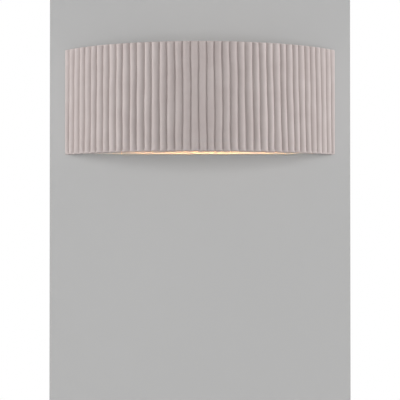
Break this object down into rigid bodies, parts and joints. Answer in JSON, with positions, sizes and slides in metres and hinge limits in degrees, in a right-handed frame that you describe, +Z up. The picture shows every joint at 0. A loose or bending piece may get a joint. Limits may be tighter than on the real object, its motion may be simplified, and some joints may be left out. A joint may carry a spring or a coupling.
{
  "type": "ceramic wall light",
  "caption": "Bow-fronted wall light: a pleated matte ceramic shade, open above and below, lifts off a steel back tray with one screw-in lamp.",
  "frame": {"origin": "midway between the two wall screws, on the wall", "axes": "+X to the right along the wall, +Y into the wall, +Z up; the room is on the -Y side"},
  "size_m": [0.36, 0.0955, 0.14],
  "materials": {
    "bisque": "matte unglazed, pleated",
    "white_enamel": "satin powder coat",
    "zinc": "zinc plated",
    "nickel": "nickel plated",
    "brass": "plain turned brass",
    "silicone": "matte silicone",
    "black_rubber": "matte rubber",
    "white_plastic": "moulded",
    "lamp_plastic": "moulded",
    "porcelain": "glazed",
    "brown_wire": "insulation",
    "blue_wire": "insulation",
    "green_wire": "insulation",
    "black_glass": "black glass",
    "lamp_globe": "frosted diffuser, warm light",
    "board_white": "solder mask",
    "phosphor": "phosphor",
    "board_green": "solder mask"
  },
  "bodies": {
    "fixture": {"back_tray": "white_enamel", "shade_studs": "zinc", "cushion_washers": "silicone", "cable_grommet": "black_rubber", "holder_bracket": "zinc", "bracket_rivets": "zinc", "holder_nipple": "brass", "nipple_nut": "brass", "lock_washer": "zinc", "lampholder_cap": "white_plastic", "lampholder_insert": "porcelain", "lampholder_skirt": "white_plastic", "thread_shell": "nickel", "centre_contact": "brass", "contact_screws": "brass", "terminal_block": "white_plastic", "terminal_barrels": "brass", "terminal_screws": "nickel", "block_screws": "nickel", "earth_screw": "brass", "earth_washer": "zinc", "earth_tag": "nickel", "live_wire": "brown_wire", "neutral_wire": "blue_wire", "earth_wire": "green_wire"},
    "shade": {"ceramic_shade": "bisque", "shade_washers": "zinc"},
    "nut_left": {"thumb_nut_left": "nickel"},
    "nut_right": {"thumb_nut_right": "nickel"},
    "lamp": {"lamp_contact": "nickel", "lamp_insulator": "black_glass", "lamp_cap": "nickel", "lamp_collar": "lamp_plastic", "lamp_globe": "lamp_globe", "led_board": "board_white", "led_chips": "phosphor", "driver_board": "board_green"}
  },
  "joints": [
    {"name": "shade_lift", "type": "slide", "parent": "fixture", "child": "shade", "axis": [0, 0, 1], "range_m": [0, 0.03]},
    {"name": "thumb_nut_left_turn", "type": "hinge", "parent": "shade", "child": "nut_left", "pos_m": [-0.13218, -0.0195, 0.033], "axis": [0, 0, 1], "continuous": true},
    {"name": "thumb_nut_right_turn", "type": "hinge", "parent": "shade", "child": "nut_right", "pos_m": [0.13218, -0.0195, 0.033], "axis": [0, 0, 1], "continuous": true},
    {"name": "lamp_unscrew", "type": "slide", "parent": "fixture", "child": "lamp", "axis": [1, 0, 0], "range_m": [0, 0.03]}
  ]
}
